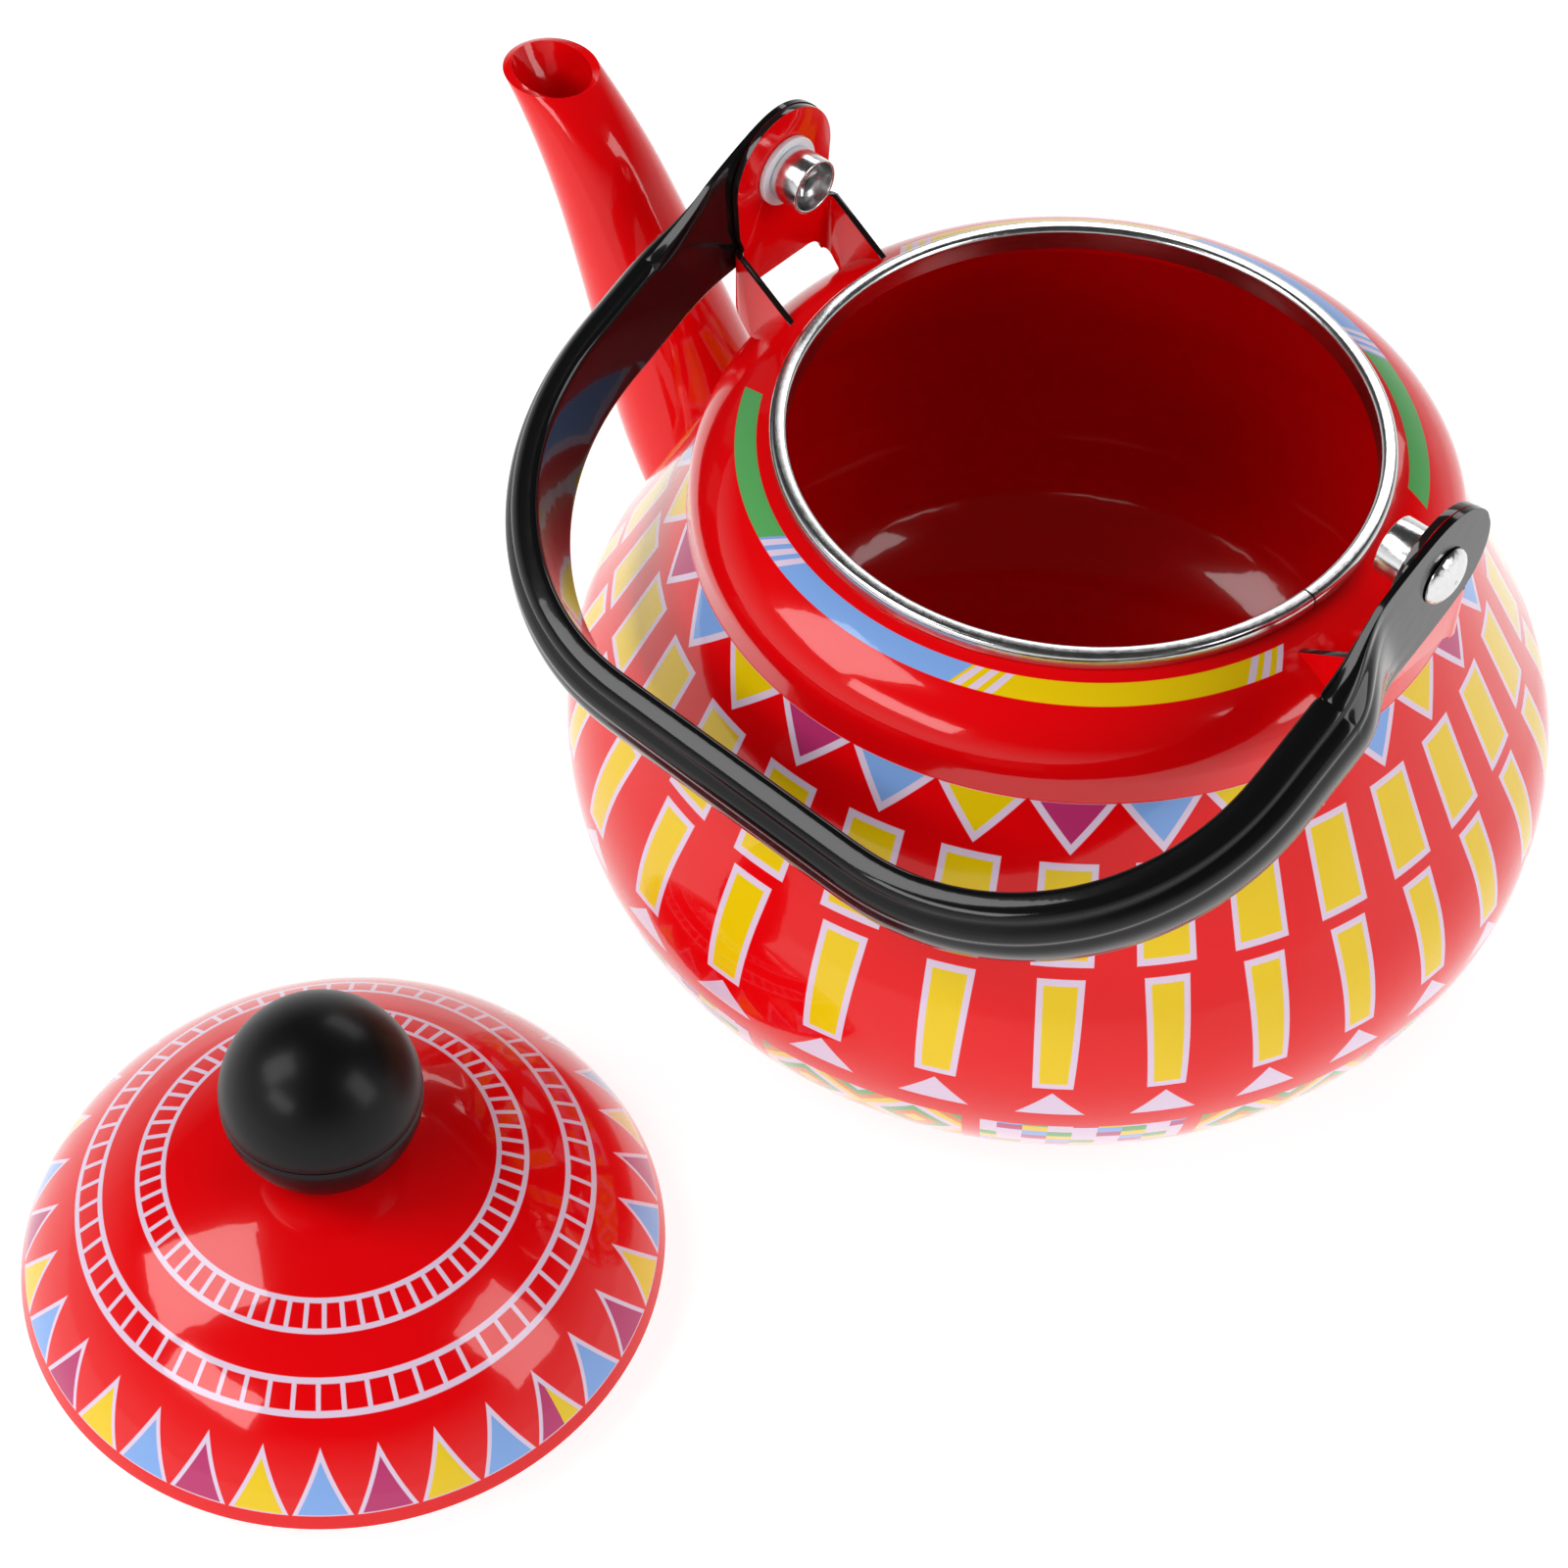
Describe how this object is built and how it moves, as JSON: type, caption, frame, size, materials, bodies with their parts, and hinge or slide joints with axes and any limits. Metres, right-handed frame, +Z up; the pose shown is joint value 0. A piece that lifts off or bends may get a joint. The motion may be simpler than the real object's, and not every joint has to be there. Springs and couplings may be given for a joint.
{
  "type": "stovetop kettle",
  "caption": "Squat enamelled stovetop kettle with a curved open spout, a swinging flat-backed tube bail on riveted brackets, and a loose domed lid with a ball knob.",
  "frame": {"origin": "centre of the flat base, on the surface the kettle stands on", "axes": "+Z up, +X towards the spout, +Y towards the side the bail is folded to and the lid lies on"},
  "size_m": [0.279, 0.3703, 0.1699],
  "materials": {
    "red_enamel": "glossy red vitreous enamel on steel, with a printed geometric band",
    "ring_steel": "polished stainless steel strip",
    "washer_nylon": "translucent white nylon",
    "pivot_steel": "bright nickel plate",
    "black_enamel": "glossy black enamel on pressed steel",
    "knob_plastic": "glossy black phenolic moulding",
    "screw_steel": "zinc plated"
  },
  "bodies": {
    "kettle": {"belly_shell": "red_enamel", "shoulder_shell": "red_enamel", "mouth_ring": "ring_steel", "spout": "red_enamel", "front_bracket": "red_enamel", "rear_bracket": "red_enamel", "front_washer": "washer_nylon", "rear_washer": "washer_nylon", "front_cup": "pivot_steel", "rear_cup": "pivot_steel", "front_rivet": "pivot_steel", "rear_rivet": "pivot_steel"},
    "bail": {"bail_handle": "black_enamel"},
    "lid": {"lid_shell": "red_enamel", "lid_skirt": "red_enamel", "knob_dome": "knob_plastic", "knob_cup": "knob_plastic", "knob_screw": "screw_steel", "knob_washer": "screw_steel"}
  },
  "joints": [
    {"name": "bail_swing", "type": "hinge", "parent": "kettle", "child": "bail", "pos_m": [0, 0, 0.1551], "axis": [1, 0, 0], "range_deg": [0, 230]},
    {"name": "lid_lift", "type": "slide", "parent": "kettle", "child": "lid", "axis": [0, 0, 1], "range_m": [0, 0.2]}
  ]
}
